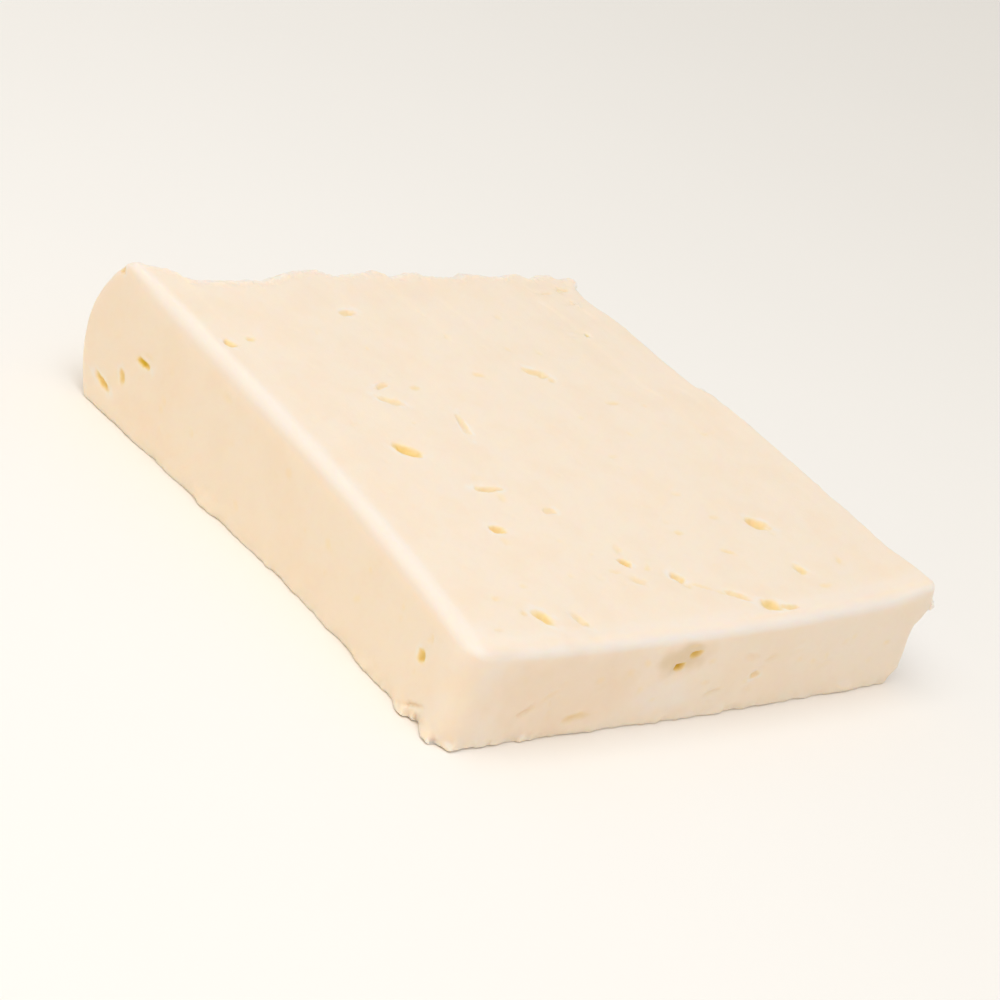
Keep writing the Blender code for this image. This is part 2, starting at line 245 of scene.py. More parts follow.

# Patches of the front, in mm: place across and up, and half sizes. They are the painted shade of the shallow
# dent round its two holes, the paler one under them and the painted shade at its left end.
DENT_SHADE = (-6.6, 11.8, 5.4, 3.2)
PALE = (-8.1, 5.1, 6.0, 3.0)
LEFT_END_SHADE = (-29.0, 8.0, 15.0, 8.0)

# How far the front right upright edge leans out, by height, in mm
UPRIGHT = ((0, -0.8), (9, -1.1), (11, -0.9), (12, 0.0), (13, 0.5), (14, 1.0), (16, 0.4), (18, 0.1))

# Crumbs that cling to the rims: place and half sizes, in mm, and how chalky they are
CRUMBS = (
    (51.5, -43.3, 14.2, 1.0, 1.3, 1.2),
    (46.4, 12.0, 20.6, 1.9, 1.3, 0.6),
)
CRUMB_CHALK = 0.7

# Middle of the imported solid's footprint in the design frame, in metres
MIDDLE = np.array((-0.6269, 2.2309, 0.0)) * MM

Hole = namedtuple("Hole", "place along aside normal length width depth amber")


class CheeseForm(PropertyGroup):
    """Sizes of the slab in its design frame."""

    left_at_back: FloatProperty(
        name="Left side", description="Left side at the back, across", default=-46.6 * MM, unit="LENGTH"
    )
    left_flare: FloatProperty(
        name="Left flare", description="Flare of the left side at the front", default=4.8 * MM, unit="LENGTH"
    )
    right_at_front: FloatProperty(
        name="Right side", description="Right side at the front, across", default=50.8 * MM, unit="LENGTH"
    )
    right_taper: FloatProperty(
        name="Right taper", description="Taper of the right side to the back", default=6.4 * MM, unit="LENGTH"
    )
    right_pinch: FloatProperty(
        name="Right pinch", description="Broken strip of the right side", default=1.7 * MM, unit="LENGTH"
    )
    right_chip: FloatProperty(
        name="Right chip", description="Chip out of the back right corner", default=2.0 * MM, unit="LENGTH"
    )
    right_lift: FloatProperty(
        name="Right lift", description="Rise of the front right corner", default=0.6 * MM, unit="LENGTH"
    )
    front_at_left: FloatProperty(
        name="Front at left", description="Front cut at its left end", default=-50.0 * MM, unit="LENGTH"
    )
    front_at_right: FloatProperty(
        name="Front at right", description="Front cut at its right end", default=-44.2 * MM, unit="LENGTH"
    )
    front_bow_under: FloatProperty(
        name="Bow under", description="Bow of the front cut at its foot", default=0.7 * MM, unit="LENGTH"
    )
    front_bow_above: FloatProperty(
        name="Bow above", description="Bow of the front cut at its rim", default=1.9 * MM, unit="LENGTH"
    )
    back_at_right: FloatProperty(
        name="Back", description="Foot of the back at its right end", default=45.9 * MM, unit="LENGTH"
    )
    back_reach: FloatProperty(
        name="Back corner", description="Extra reach of the back left corner", default=4.2 * MM, unit="LENGTH"
    )
    bulge_left: FloatProperty(
        name="Bulge left", description="Bulge of the back at its left end", default=5.2 * MM, unit="LENGTH"
    )
    bulge_right: FloatProperty(
        name="Bulge right", description="Bulge of the back at its right end", default=3.2 * MM, unit="LENGTH"
    )
    thick_front_left: FloatProperty(
        name="Front left", description="Thickness at the front left", default=16.8 * MM, unit="LENGTH"
    )
    thick_front_right: FloatProperty(
        name="Front right", description="Thickness at the front right", default=17.7 * MM, unit="LENGTH"
    )
    thick_back_right: FloatProperty(
        name="Back right", description="Thickness at the back right", default=24.0 * MM, unit="LENGTH"
    )
    thick_back_left: FloatProperty(
        name="Back left", description="Thickness at the back left", default=24.2 * MM, unit="LENGTH"
    )
    top_sag: FloatProperty(
        name="Sag", description="How far the front rim sinks at its middle", default=0.7 * MM, unit="LENGTH"
    )
    rim_radius: FloatProperty(
        name="Rim", description="Rounding of the rims", default=2.3 * MM, unit="LENGTH"
    )
    back_rim_radius: FloatProperty(
        name="Back rim", description="Rounding of the back rim", default=1.3 * MM, unit="LENGTH"
    )
    foot_radius: FloatProperty(
        name="Foot", description="Rounding of the foot", default=0.5 * MM, unit="LENGTH"
    )
    soft_radius: FloatProperty(
        name="Soft corner", description="Rounding of the front left corner", default=4.6 * MM, unit="LENGTH"
    )


class CheeseRelief(PropertyGroup):
    """Heights and lengths of the slab's unevenness."""

    wave: FloatProperty(
        name="Wave", description="Height of the long waves", default=0.35 * MM, unit="LENGTH"
    )
    wave_length: FloatProperty(
        name="Wave length", description="Length of the long waves", default=26 * MM, unit="LENGTH"
    )
    ripple: FloatProperty(
        name="Ripple", description="Height of the ripples", default=0.10 * MM, unit="LENGTH"
    )
    ripple_length: FloatProperty(
        name="Ripple length", description="Length of the ripples", default=7 * MM, unit="LENGTH"
    )
    grain: FloatProperty(
        name="Curd", description="Height of the curd grain", default=0.035 * MM, unit="LENGTH"
    )
    grain_length: FloatProperty(
        name="Curd length", description="Length of the curd grain", default=2.4 * MM, unit="LENGTH"
    )
    drag: FloatProperty(
        name="Knife drag", description="Height of the knife marks", default=0.03 * MM, unit="LENGTH"
    )
    drag_width: FloatProperty(
        name="Drag width", description="Width of the knife marks", default=2.8 * MM, unit="LENGTH"
    )
    rag: FloatProperty(
        name="Foot rag", description="Reach of the ragged foot", default=0.7 * MM, unit="LENGTH"
    )
    rag_length: FloatProperty(
        name="Rag length", description="Length of its lobes", default=5 * MM, unit="LENGTH"
    )
    tear: FloatProperty(
        name="Rim tear", description="Height of the torn back rim", default=0.28 * MM, unit="LENGTH"
    )
    burr: FloatProperty(
        name="Burr", description="Reach of the burrs on the right rim", default=0.30 * MM, unit="LENGTH"
    )
    dip: FloatProperty(
        name="Dip", description="Depth of the soft dip round a hole", default=0.12 * MM, unit="LENGTH"
    )
    pits: IntProperty(name="Pits", description="Small pits scattered over the faces", default=130, min=0)
    seed: IntProperty(name="Seed", description="Seed of the scattered holes and pits", default=11, min=0)


class CheeseColours(PropertyGroup):
    """Colours and gloss of the cheese."""

    curd: FloatVectorProperty(
        name="Curd", description="Cut faces", subtype="COLOR", size=3, default=(0.94, 0.80, 0.68)
    )
    cream: FloatVectorProperty(
        name="Cream", description="Deeper mottles", subtype="COLOR", size=3, default=(0.92, 0.755, 0.60)
    )
    # Painted highlight tint on the rounded side rims, and painted shade on the front left corner
    rim: FloatVectorProperty(
        name="Rim", description="Rims of the sides", subtype="COLOR", size=3, default=(0.83, 0.765, 0.715)
    )
    # Chalky torn rim, crumbs and pale patches, with painted highlight on the front rim, inside the rims and
    # on the lips of the holes
    chalk_and_highlight: FloatVectorProperty(
        name="Chalk", description="Pale rims and lips", subtype="COLOR", size=3, default=(0.905, 0.865, 0.845)
    )
    # Painted glow of warm light scattered inside the holes and dents
    amber: FloatVectorProperty(
        name="Amber", description="Inside of the holes", subtype="COLOR", size=3, default=(0.95, 0.715, 0.31)
    )
    # Painted shade in the hearts of the strongest holes
    core: FloatVectorProperty(
        name="Core", description="Heart of dark holes", subtype="COLOR", size=3, default=(0.82, 0.60, 0.045)
    )
    # Painted shade of the shallow dent round the front's two holes and of the front's left end
    painted_shade: FloatVectorProperty(
        name="Bruise", description="Greyish patch", subtype="COLOR", size=3, default=(0.77, 0.62, 0.43)
    )
    roughness: FloatProperty(
        name="Roughness", description="Roughness of the face", default=0.46, min=0, max=1, subtype="FACTOR"
    )
    depth: FloatProperty(
        name="Translucency", description="How far light spreads inside", default=1.1 * MM, unit="LENGTH"
    )


class CheeseStudio(PropertyGroup):
    """Floor, light and camera."""

    floor: FloatVectorProperty(
        name="Floor", description="Colour of the floor", subtype="COLOR", size=3, default=(0.96, 0.955, 0.945)
    )
    zenith: FloatVectorProperty(
        name="Above", description="Surround above", subtype="COLOR", size=3, default=(1.0, 1.0, 1.0)
    )
    horizon: FloatVectorProperty(
        name="Low", description="Surround low down", subtype="COLOR", size=3, default=(1.0, 0.80, 0.56)
    )
    west: FloatVectorProperty(
        name="Left", description="Surround on the left", subtype="COLOR", size=3, default=(1.0, 0.87, 0.62)
    )
    sky: FloatProperty(name="Surround", description="Strength of the surround", default=0.69, min=0)
    key: FloatProperty(
        name="Key", description="Power of the soft box above", default=1.33, min=0, unit="POWER"
    )
    fill: FloatProperty(
        name="Fill", description="Power of the warm side light", default=1.5, min=0, unit="POWER"
    )
    lens: FloatProperty(
        name="Lens", description="Focal length of the camera", default=151.0, min=1, unit="CAMERA"
    )


def mix(a, b, share):
    """From a at a share of 0 to b at 1."""
    return a + (b - a) * share


def ease(low, high, value):
    """0 before low, 1 beyond high and a smooth ramp between, for either order of low and high."""
    share = np.clip((value - low) / (high - low), 0.0, 1.0)
    return share * share * (3 - 2 * share)


def stretch(value, rise, fall):
    """1 within a stretch of values and 0 outside it, with a smooth ramp at each end."""
    return ease(*rise, value) * ease(*fall, value)


def arch(share):
    """0 at both ends of 0 to 1 and 1 at the middle."""
    return 4 * share * (1 - share)


def noise_at(points, length, patch=(0.0, 0.0, 0.0)):
    """Smooth noise at each point, with features of about the given length or lengths."""
    places = points / np.asarray(length) + np.asarray(patch)
    return np.array([noise.noise(place) for place in places.tolist()])


def unit(vectors):
    """Vectors at a length of 1, apart from those that have none."""
    return vectors / np.maximum(np.linalg.norm(vectors, axis=1, keepdims=True), 1e-9)


def distance_in_plan(points, place):
    """How far points lie from a place in plan that is given in mm."""
    x, y = place
    return np.hypot(points[:, 0] - x * MM, points[:, 1] - y * MM)


def left_side(form, back):
    """The left side flares out over the front half."""
    return form.left_at_back - form.left_flare * np.maximum(0, 1 - 2 * back) ** 1.5


def right_side(form, back):
    """The right side tapers over the back three quarters, where a strip and a chip are broken off."""
    taper = form.right_taper * np.maximum(0, (back - 0.25) / 0.75)
    pinch = form.right_pinch * stretch(back, *PINCH)
    chip = form.right_chip * stretch(back, *CHIP)
    return form.right_at_front - taper - pinch - chip


def front_side(form, across, up):
    """The front cut bows out towards its middle, more so at its rim."""
    bow = mix(form.front_bow_under, form.front_bow_above, up) * arch(across)
    return mix(form.front_at_left, form.front_at_right, across) - bow


def back_side(form, across, up):
    """The back bulges like the outside of the pressed block, under a broken rim."""
    places = np.array(BACK_RIM) * MM
    left_end, right_end = left_side(form, 1.0), right_side(form, 1.0)
    above = np.interp(mix(left_end, right_end, across), places[:, 0], places[:, 1])
    crumbly = noise_at(np.stack((above, across * BLOCK[0], up * BLOCK[2]), axis=1), 1.3 * MM)
    above += 0.22 * MM * crumbly
    under = form.back_at_right + form.back_reach * ease(0.55, 0.0, across)
    bulge = mix(form.bulge_left, form.bulge_right, across) * arch(up)
    return mix(under, above, ease(0.55, 0.95, up)) + bulge


def thickness(form, across, back):
    """The slab thickens to the back, and its front rim sags at its middle."""
    front = mix(form.thick_front_left, form.thick_front_right, across) - form.top_sag * arch(across)
    rear = mix(form.thick_back_left, form.thick_back_right, across)
    return mix(front, rear, back)


def rounded(form, points):
    """Points of the nominal block's surface, moved onto its rounded rims and corners."""
    half = BLOCK / 2
    centred = points - (0, 0, half[2])
    soft = ease(14 * MM, 2 * MM, np.hypot(centred[:, 0] + half[0], centred[:, 1] + half[1]))
    near_back = ease(*RIM_TURN, centred[:, 1] / half[1])
    near_right = ease(*RIM_TURN, centred[:, 0] / half[0])
    plain_rim = mix(form.rim_radius, form.back_rim_radius, np.maximum(near_back, near_right))
    foot = mix(form.foot_radius, form.soft_radius, 0.6 * soft)
    flat = mix(foot, mix(plain_rim, form.soft_radius, soft), ease(-0.9, 0.4, centred[:, 2] / half[2]))
    upright = np.where(centred[:, 2] > 0, plain_rim, form.foot_radius)
    radii = np.stack((flat, flat, upright), axis=1)
    core = np.clip(centred, radii - half, half - radii)
    return core + radii * unit((centred - core) / radii) + (0, 0, half[2])


def lean_right_corner(form, places, across):
    """Leans the front right upright edge out and lifts its rim."""
    share = ease(12 * MM, 3 * MM, distance_in_plan(places, RIGHT_CORNER))
    heights, leans = np.array(UPRIGHT).T * MM
    on_edge = ease(0.40, 0.49, across - 0.5)
    places[:, 0] += share * on_edge * np.interp(places[:, 2], heights, leans)
    places[:, 2] += form.right_lift * share * ease(12 * MM, 16 * MM, places[:, 2])


def ragged_foot(relief, places, block):
    """Moves the foot of the sides out and in, more so near the front left corner and by the table's lobes."""
    outward = block[:, :2] / BLOCK[:2]
    on_side = ease(0.44, 0.49, np.abs(outward).max(axis=1))
    low = ease(3 * MM, 0.3 * MM, places[:, 2])
    corner = ease(26 * MM, 5 * MM, distance_in_plan(places, LEFT_FOOT))
    coarse = noise_at(places, relief.rag_length, (5.2, 1.3, 0))
    fine = noise_at(places, 0.3 * relief.rag_length)
    finest = noise_at(places, 1.1 * MM)
    ragged = relief.rag * (1 + 0.5 * corner) * (coarse + 0.45 * fine) + relief.rag * 0.6 * corner * finest
    for *place, reach, radius in FOOT_LOBES:
        ragged += reach * MM * ease(radius * MM, 0.25 * radius * MM, distance_in_plan(places, place))
    places[:, :2] += unit(outward) * (ragged * low * on_side)[:, None]


def shaped(form, relief, points):
    """The slab's smooth surface for points of the nominal block's surface."""
    block = rounded(form, points)
    across, back = block[:, 0] / BLOCK[0] + 0.5, block[:, 1] / BLOCK[1] + 0.5
    up = block[:, 2] / BLOCK[2]
    x = mix(left_side(form, back), right_side(form, back), across)
    y = mix(front_side(form, across, up), back_side(form, across, up), back)
    places = np.stack((x, y, up * thickness(form, across, back)), axis=1)
    lean_right_corner(form, places, across)
    ragged_foot(relief, places, block)
    return places


def nominal_block():
    """The nominal block, sliced into coarse cells."""
    mesh = bmesh.new()
    size = Matrix.Diagonal((*BLOCK, 1))
    bmesh.ops.create_cube(mesh, size=1, matrix=Matrix.Translation((0, 0, BLOCK[2] / 2)) @ size)
    low = Vector((-BLOCK[0] / 2, -BLOCK[1] / 2, 0))
    for axis, cells in enumerate(COARSE_CELLS):
        direction = Vector([float(i == axis) for i in range(3)])
        for step in range(1, cells):
            geometry = mesh.verts[:] + mesh.edges[:] + mesh.faces[:]
            place = low + direction * BLOCK[axis] * step / cells
            bmesh.ops.bisect_plane(mesh, geom=geometry, dist=1e-7, plane_co=place, plane_no=direction)
    return mesh


def face_centres(mesh):
    """Middle of each face, as an array."""
    return np.array([face.calc_center_median() for face in mesh.faces])


def refine(mesh, chosen):
    """Splits each chosen face into four, and its neighbours so that no gap opens."""
    edges = {}
    for face, split in zip(mesh.faces, chosen):
        if split:
            edges.update(dict.fromkeys(face.edges))
    bmesh.ops.subdivide_edges(mesh, edges=list(edges), cuts=1, use_grid_fill=True)


def tree_of(form, relief, mesh):
    """A search tree of the smooth form, for placing holes on it."""
    mesh.verts.index_update()
    places = shaped(form, relief, np.array([vert.co for vert in mesh.verts]))
    faces = [[vert.index for vert in face.verts] for face in mesh.faces]
    return BVHTree.FromPolygons(places.tolist(), faces)


def located(tree, start, towards, length, width, turn, depth, amber):
    """A hole where a ray from start meets the slab, its length turned in the face. Sizes are in mm."""
    place, normal, _, _ = tree.ray_cast(Vector(start), Vector(towards))
    right = Vector((0, 0, 1)).cross(normal)
    if right.length < 0.5:
        right = Vector((1, 0, 0))
    along = (right - normal * right.dot(normal)).normalized()
    along.rotate(Matrix.Rotation(math.radians(turn), 3, normal))
    return Hole(place, along, normal.cross(along), normal, length * MM, width * MM, depth * MM, amber)


def placed(tree, top, left, front):
    """The holes or dents of the three tables, on their faces."""
    found = [located(tree, (x * MM, y * MM, RAY_START), (0, 0, -1), *shape) for x, y, *shape in top]
    found += [located(tree, (-RAY_START, y * MM, z * MM), (1, 0, 0), *shape) for y, z, *shape in left]
    found += [located(tree, (x * MM, -RAY_START, z * MM), (0, 1, 0), *shape) for x, z, *shape in front]
    return found


def hidden_holes(tree, draw):
    """Holes of the right side and the back, spaced apart."""
    found = []
    for towards in ((-1, 0, 0), (0, -1, 0)):
        taken = []
        while len(taken) < HIDDEN_HOLES:
            along, height = draw.uniform(-42, 42), draw.uniform(3.5, 16)
            if any(math.hypot(along - a, height - h) < HOLE_ROOM for a, h in taken):
                continue
            taken.append((along, height))
            length = draw.choice((1.2, 1.6, 2.0, 2.6, 3.4, 4.6))
            start = np.array((towards[1], towards[0], 0)) * along * MM - np.array(towards) * RAY_START
            shape = (length, length * draw.uniform(0.4, 0.75), draw.uniform(-40, 40), 0.20 * length)
            found.append(located(tree, start + (0, 0, height * MM), towards, *shape, draw.uniform(0.4, 0.95)))
    return found


def scattered_pits(tree, draw, count):
    """Small shallow pits over the top and the four sides."""
    found = []
    aims = ((0, 0, -1), (0, 0, -1), (1, 0, 0), (-1, 0, 0), (0, 1, 0), (0, -1, 0))
    for _ in range(count):
        towards = np.array(draw.choice(aims), float)
        target = np.array((draw.uniform(-42, 42), draw.uniform(-42, 40), draw.uniform(2.5, 15))) * MM
        start = np.where(towards == 0, target, -RAY_START * towards)
        length = draw.uniform(0.9, 2.2)
        shape = (length, length * draw.uniform(0.5, 0.9), draw.uniform(-90, 90), draw.uniform(0.05, 0.16))
        found.append(located(tree, start, towards, *shape, draw.uniform(0.0, 0.25)))
    return found


def local_to(hole, points):
    """Places of points in a hole's own frame: along, aside and out of the face."""
    offset = points - np.array(hole.place)
    return offset @ np.array(hole.along), offset @ np.array(hole.aside), offset @ np.array(hole.normal)


def near(hole, points, margin):
    """Whether each point lies in a hole or within a margin round it."""
    along, aside, out = local_to(hole, points)
    spread = np.hypot(along / (hole.length / 2 + margin), aside / (hole.width / 2 + margin))
    return (spread < 1) & (np.abs(out) < HOLE_REACH)


def on_rims(centres, rim, whole):
    """Cells at the back rim and the front left foot, and with whole set at all of the foot and right rim."""
    edge = (np.abs(centres[:, :2]) / BLOCK[:2]).max(axis=1)
    corner = np.hypot(centres[:, 0] + BLOCK[0] / 2, centres[:, 1] + BLOCK[1] / 2) < 7 * rim
    foot = (centres[:, 2] < 0.5 * rim) & (edge > 0.475) & (corner | whole)
    above = centres[:, 2] > BLOCK[2] - rim / 2
    back = (centres[:, 1] > BLOCK[1] / 2 - rim) & above
    right = (centres[:, 0] > BLOCK[0] / 2 - rim / 2) & above & whole
    return foot | back | right


def refined_block(form, relief, draw):
    """The nominal block with even cells, finer at its rims, holes and dents, and those holes and dents."""
    mesh = nominal_block()
    for _ in range(EVEN_PASSES):
        centres = face_centres(mesh)
        inner = np.abs(centres[:, :2]) < BLOCK[:2] / 2 - UNDERSIDE_MARGIN
        underside = (centres[:, 2] < 1e-6) & inner.all(axis=1)
        refine(mesh, ~underside)
    tree = tree_of(form, relief, mesh)
    holes = placed(tree, TOP_HOLES, LEFT_HOLES, FRONT_HOLES) + hidden_holes(tree, draw)
    dents = placed(tree, TOP_DENTS, LEFT_DENTS, FRONT_DENTS)
    dents += scattered_pits(tree, draw, relief.pits)
    for number, (hole_margin, dent_margin, rim) in enumerate(FINE_PASSES):
        centres = face_centres(mesh)
        places = shaped(form, relief, centres)
        wanted = on_rims(centres, rim, whole=number == 0)
        for hole in holes:
            wanted |= near(hole, places, hole_margin)
        for dent in dents:
            if dent.width / 2 + dent_margin > 0:
                wanted |= near(dent, places, dent_margin)
        refine(mesh, wanted)
    return mesh, holes, dents


def reach_of(hole, points):
    """The points close to a hole or dent, and how far out they lie as a share of its uneven outline."""
    along, aside, out = local_to(hole, points)
    share = np.abs(along / hole.length * 2) ** BLUNTNESS + np.abs(aside / hole.width * 2) ** BLUNTNESS
    share = share ** (1 / BLUNTNESS)
    close = np.flatnonzero((share < 3) & (np.abs(out) < HOLE_REACH))
    lumps = noise_at(points[close], 0.60 * hole.width, (3.3, 8.1, 0.7))
    grit = noise_at(points[close], 0.25 * hole.width, (1.3, 2.1, 5.7))
    return close, share[close] + 0.24 * lumps + 0.12 * grit


def carved(relief, points, holes, dents):
    """How deep each point is carved, and how much painted amber glow, painted shade and pale painted
    highlight the holes and dents give it.
    """
    depth, amber, core, lip = np.zeros((4, len(points)))
    for hole in holes:
        close, reach = reach_of(hole, points)
        depth[close] += hole.depth * ease(1.1, 0.2, reach) + relief.dip * ease(2.2, 0.9, reach)
        # Painted glow of light scattered inside the hole
        amber[close] = np.maximum(amber[close], hole.amber * ease(1.15, 0.60, reach))
        # Painted shade in the heart of the strongest holes
        core[close] = np.maximum(core[close], hole.amber**4 * ease(1.0, 0.3, reach))
        # Painted highlight on the lip round the hole
        lip[close] = np.maximum(lip[close], ease(1.9, 1.25, reach) * ease(0.85, 1.15, reach))
    for dent in dents:
        close, reach = reach_of(dent, points)
        inside = ease(1.15, 0.25, reach)
        depth[close] += dent.depth * inside
        # Painted glow inside the dent
        amber[close] = np.maximum(amber[close], dent.amber * inside)
    return depth, amber, core, lip


def short_of_back(places):
    """How far points lie in front of the broken back rim."""
    outline = np.array(BACK_RIM) * MM
    return np.interp(places[:, 0], outline[:, 0], outline[:, 1]) - places[:, 1]


def unevenness(relief, places, normals):
    """How far each point of the smooth form is raised along its normal, apart from its holes and dents."""
    raised = relief.wave * noise_at(places, relief.wave_length, (9.1, 0.4, 2.2))
    fronting = ease(-0.5, -0.9, normals[:, 1])
    raised += relief.ripple * mix(1, FRONT_RIPPLE, fronting) * noise_at(places, relief.ripple_length)
    curd = noise_at(places, relief.grain_length, (4.0, 1.0, 6.0))
    raised += relief.grain * mix(1, FRONT_GRAIN, fronting) * curd
    width = relief.drag_width
    raised += relief.drag * noise_at(places, (width, 14 * width, 3 * width), (1.7, 0.2, 5.5))
    short = short_of_back(places)
    facing_up = ease(0.3, 0.9, normals[:, 2])
    torn = noise_at(places, (2.6 * MM, 1.4 * MM, 2.0 * MM), (2, 2, 2)) + 0.6 * noise_at(places, 0.8 * MM)
    raised += relief.tear * torn * ease(3.4 * MM, 1.2 * MM, short) * facing_up
    right_rim = arch(np.clip(normals[:, 2], 0, 1)) * (normals[:, 0] > 0.2)
    burrs = noise_at(places, 1.5 * MM) + 0.5 * noise_at(places, 0.6 * MM)
    raised += relief.burr * right_rim * np.maximum(0, burrs)
    return raised * ease(0.2 * MM, 3 * MM, places[:, 2])


def mesh_from(mesh, name):
    """Turns an edit mesh into mesh data and frees it."""
    data = bpy.data.meshes.new(name)
    mesh.to_mesh(data)
    mesh.free()
    return data


def object_of(data, name):
    """A new object of the scene with the given data."""
    obj = bpy.data.objects.new(name, data)
    bpy.context.scene.collection.objects.link(obj)
    return obj


def read_vectors(collection, name, count):
    """One vector for each item of a collection, as an array."""
    values = np.empty(count * 3)
    collection.foreach_get(name, values)
    return values.reshape(-1, 3)


def store(data, name, values):
    """Keeps one number for each point of a mesh, for its finish to read."""
    layer = data.attributes.new(name, "FLOAT", "POINT")
    layer.data.foreach_set("value", values.astype(np.float32))


def lump(mesh, x, y, z, *half_sizes):
    """A small ball with dents, at the place and of the half sizes given in mm."""
    place = Vector((x, y, z)) * MM
    ball = bmesh.ops.create_icosphere(mesh, subdivisions=5, radius=1)["verts"]
    for vert in ball:
        point = vert.co * 1.4 + place / MM
        vert.co *= 1 - 0.45 * abs(noise.noise(point)) - 0.22 * abs(noise.noise(point * 3.1))
    size = Matrix.Diagonal([half * MM for half in half_sizes] + [1])
    bmesh.ops.transform(mesh, verts=ball, matrix=Matrix.Translation(place) @ size)


def crumb_mesh():
    """The burr of the front right corner and the flake of the right rim."""
    mesh = bmesh.new()
    for crumb in CRUMBS:
        lump(mesh, *crumb)
    data = mesh_from(mesh, "crumbs")
    store(data, "chalk_and_highlight", np.full(len(data.vertices), CRUMB_CHALK))
    return data


def joined(obj, data):
    """Fuses a helper mesh with an object's own."""
    helper = object_of(data, "helper")
    modifier = obj.modifiers.new("joined", "BOOLEAN")
    modifier.operation = "UNION"
    modifier.solver = "MANIFOLD"
    modifier.object = helper
    made = bpy.data.meshes.new_from_object(obj.evaluated_get(bpy.context.evaluated_depsgraph_get()))
    obj.modifiers.clear()
    obj.data = made
    bpy.data.objects.remove(helper)


def blotch(places, x, z, wide, high):
    """A soft blotch on the front face, at the place and of the half sizes given in mm."""
    spread = np.hypot((places[:, 0] / MM - x) / wide, (places[:, 2] / MM - z) / high)
    spread += 0.35 * noise_at(places, 2.6 * MM, (0.3, 4.4, 7.1))
    return ease(1.25, 0.55, spread) * (places[:, 1] < -40 * MM)


def highlight_band(form, places, normals):
    """How far points of the top lie in the bands of painted highlight just inside its left and front rims."""
    across, back = places[:, 0] / BLOCK[0] + 0.5, places[:, 1] / BLOCK[1] + 0.5
    from_left = places[:, 0] - left_side(form, back) + mix(0.7, 1.9, back) * MM
    from_front = places[:, 1] - front_side(form, across, 1.0)
    band = np.maximum(stretch(from_left, *BAND), 0.4 * stretch(from_front, *BAND))
    return band * ease(0.15, 0.6, normals[:, 2])


def store_face_masks(data, form, places, normals, lip):
    """Keeps where the rims carry their painted tint, where the faces are chalky or carry painted highlight,
    and where painted shade darkens the front.
    """
    rounded_rim = arch(np.clip(normals[:, 2], 0, 1)) * mix(0.35, 1.0, ease(5 * MM, 10 * MM, places[:, 2]))
    fronting = ease(-0.1, -0.6, normals[:, 1])
    off_back = ease(0.8, 0.2, normals[:, 1])
    torn = stretch(short_of_back(places), *TORN) * ease(0.3, 0.9, normals[:, 2])
    # Painted highlight on the lips round the holes, broken up by noise
    broken_lip = lip * ease(-0.3, 0.4, noise_at(places, 1.8 * MM, (6.1, 0.2, 3.3)))
    distance = distance_in_plan(places, LEFT_CORNER)
    clouds = ease(-0.5, 0.5, noise_at(places, 4.5 * MM, (8.2, 1.9, 0.6)))
    cloudy_corner = ease(13 * MM, 3 * MM, distance) * clouds
    at_corner = ease(12 * MM, 4 * MM, distance)
    chalk_and_highlight = (
        # Painted highlight on the rounded front rim, less at the front left corner
        0.9 * rounded_rim * fronting * (1 - 0.8 * at_corner),
        0.6 * highlight_band(form, places, normals),
        0.65 * torn,
        0.5 * broken_lip,
        0.28 * cloudy_corner,
        0.35 * blotch(places, *PALE),
    )
    under_rim = ease(15.5 * MM, 14 * MM, places[:, 2])
    # Painted shade in the shallow dent round the front's two holes, and fainter at the front's left end
    painted_shade = np.maximum(blotch(places, *DENT_SHADE) * under_rim, 0.25 * blotch(places, *LEFT_END_SHADE))
    # Painted highlight tint on the rounded left and right rims, paler and greyer than the curd, and painted
    # shade on the front left corner
    side_rims = np.maximum((1 - fronting) * off_back, 1.3 * at_corner)
    store(data, "rim", ease(0.2, 0.9, rounded_rim) * side_rims)
    store(data, "chalk_and_highlight", np.max(chalk_and_highlight, axis=0))
    store(data, "painted_shade", painted_shade)


def slab_mesh(form, relief, draw):
    """The slab's own mesh, uneven and with the masks that its finish reads."""
    nominal, holes, dents = refined_block(form, relief, draw)
    data = mesh_from(nominal, SLAB)
    count = len(data.vertices)
    places = shaped(form, relief, read_vectors(data.vertices, "co", count))
    data.vertices.foreach_set("co", places.ravel())
    data.update()
    normals = read_vectors(data.vertex_normals, "vector", count)
    depth, amber, core, lip = carved(relief, places, holes, dents)
    raised = unevenness(relief, places, normals) - depth
    data.vertices.foreach_set("co", (places + normals * raised[:, None]).ravel())
    data.update()
    # Painted glow inside the holes and dents, and painted shade in the hearts of the strongest holes
    store(data, "amber", amber)
    store(data, "core", core)
    store_face_masks(data, form, places, normals, lip)
    return data


class Value:
    """A shader socket that takes part in Python expressions."""

    def __init__(self, finish, socket):
        self.finish = finish
        self.socket = socket

    def math(self, operation, first, second):
        """Adds a Math node."""
        return self.finish.node("ShaderNodeMath", {"operation": operation}, {0: first, 1: second})

    def __add__(self, other):
        return self.math("ADD", self, other)

    def __radd__(self, other):
        return self.math("ADD", other, self)

    def __sub__(self, other):
        return self.math("SUBTRACT", self, other)

    def __rsub__(self, other):
        return self.math("SUBTRACT", other, self)

    def __mul__(self, other):
        return self.math("MULTIPLY", self, other)

    def __rmul__(self, other):
        return self.math("MULTIPLY", other, self)


